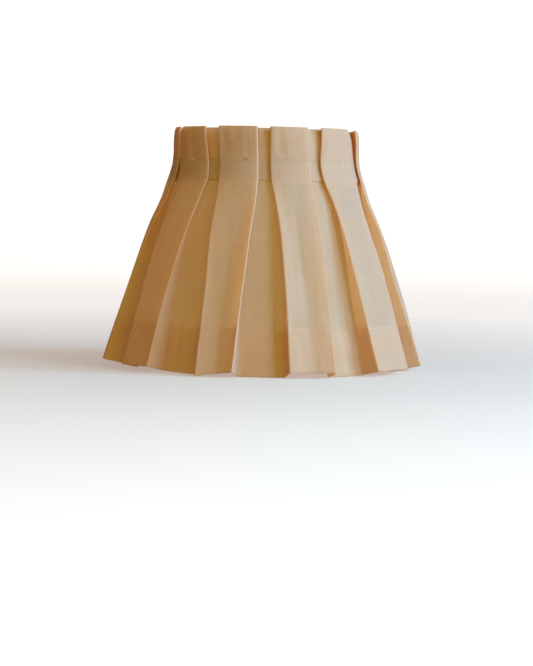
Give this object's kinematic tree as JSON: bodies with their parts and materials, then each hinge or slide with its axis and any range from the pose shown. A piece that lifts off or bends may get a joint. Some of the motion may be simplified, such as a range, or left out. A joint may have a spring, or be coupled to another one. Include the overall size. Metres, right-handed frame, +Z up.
{
  "type": "pleated lamp shade",
  "caption": "Box-pleated cotton lamp shade with a frilled top, on a wire frame with a recessed fitter that a lampholder's collar clamps.",
  "frame": {"origin": "on the shade's axis, at the height of the lowest hems, where it stands on a table", "axes": "+Z up along the shade's axis, -Y the front, at the middle of a gap between two pleats"},
  "size_m": [0.3078, 0.3028, 0.2315],
  "materials": {
    "natural_cotton": "unbleached plain-weave cotton with seed flecks, matt and translucent",
    "cotton_tape": "woven cotton tape, matt",
    "white_coated_steel": "white powder coat on steel wire and strip, satin",
    "white_plastic": "moulded white plastic, satin"
  },
  "bodies": {
    "root": {"skirt_cover": "natural_cotton", "waist_tape": "cotton_tape", "top_ring": "white_coated_steel", "bottom_ring": "white_coated_steel", "rib_1": "white_coated_steel", "rib_2": "white_coated_steel", "rib_3": "white_coated_steel", "rib_4": "white_coated_steel", "rib_5": "white_coated_steel", "rib_6": "white_coated_steel", "fitter_arm_1": "white_coated_steel", "fitter_arm_2": "white_coated_steel", "fitter_arm_3": "white_coated_steel", "fitter_ring": "white_coated_steel", "reducer_ring": "white_plastic"}
  },
  "joints": []
}
